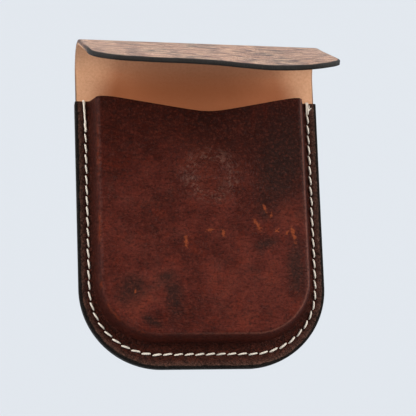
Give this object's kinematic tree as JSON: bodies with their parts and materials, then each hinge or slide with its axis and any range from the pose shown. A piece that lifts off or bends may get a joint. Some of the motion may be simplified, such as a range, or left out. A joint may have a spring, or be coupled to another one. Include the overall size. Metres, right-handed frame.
{
  "type": "leather pocket case",
  "caption": "Slim moulded leather pocket case for a small camera accessory, saddle stitched round its edge, with a fold-over flap on a leather bend.",
  "frame": {"origin": "middle of the flat back face of the stitched pocket", "axes": "+X across the case to the right as seen from the front, +Y from the bottom edge to the mouth and flap, +Z out of the moulded front; the case lies on its back"},
  "size_m": [0.09, 0.1191, 0.0565],
  "materials": {
    "hide_leather": "waxed, lightly scuffed",
    "flap_leather": "waxed grain",
    "lining_leather": "smooth vegetable tanned",
    "waxed_thread": "waxed",
    "magnet_steel": "plated",
    "edge_paint": "burnished black"
  },
  "bodies": {
    "case": {"back_hide": "hide_leather", "back_lining": "lining_leather", "front_lining": "lining_leather", "front_hide": "hide_leather", "front_keeper": "magnet_steel", "seam_thread": "waxed_thread"},
    "bend_lower": {"bend_lower_hide": "flap_leather", "bend_lower_lining": "lining_leather"},
    "bend_upper": {"bend_upper_hide": "flap_leather", "bend_upper_lining": "lining_leather"},
    "flap": {"flap_hide": "flap_leather", "flap_lining": "lining_leather", "flap_magnet": "magnet_steel"}
  },
  "joints": [
    {"name": "flap_fold", "type": "hinge", "parent": "case", "child": "bend_lower", "pos_m": [0, 0.06222, 0.00226], "axis": [1, 0, 0], "range_deg": [-38, 20.7], "stiffness_Nm_per_rad": 0.02},
    {"name": "bend_fold", "type": "hinge", "parent": "bend_lower", "child": "bend_upper", "pos_m": [0, 0.06658, 0.00567], "axis": [1, 0, 0], "range_deg": [-38, 20.7], "stiffness_Nm_per_rad": 0.02},
    {"name": "flap_root_fold", "type": "hinge", "parent": "bend_upper", "child": "flap", "pos_m": [0, 0.06792, 0.01104], "axis": [1, 0, 0], "range_deg": [-38, 20.7], "stiffness_Nm_per_rad": 0.02}
  ],
  "couplings": [
    {"joint": "bend_fold", "follows": "flap_fold", "ratio": 1},
    {"joint": "flap_root_fold", "follows": "flap_fold", "ratio": 1}
  ]
}
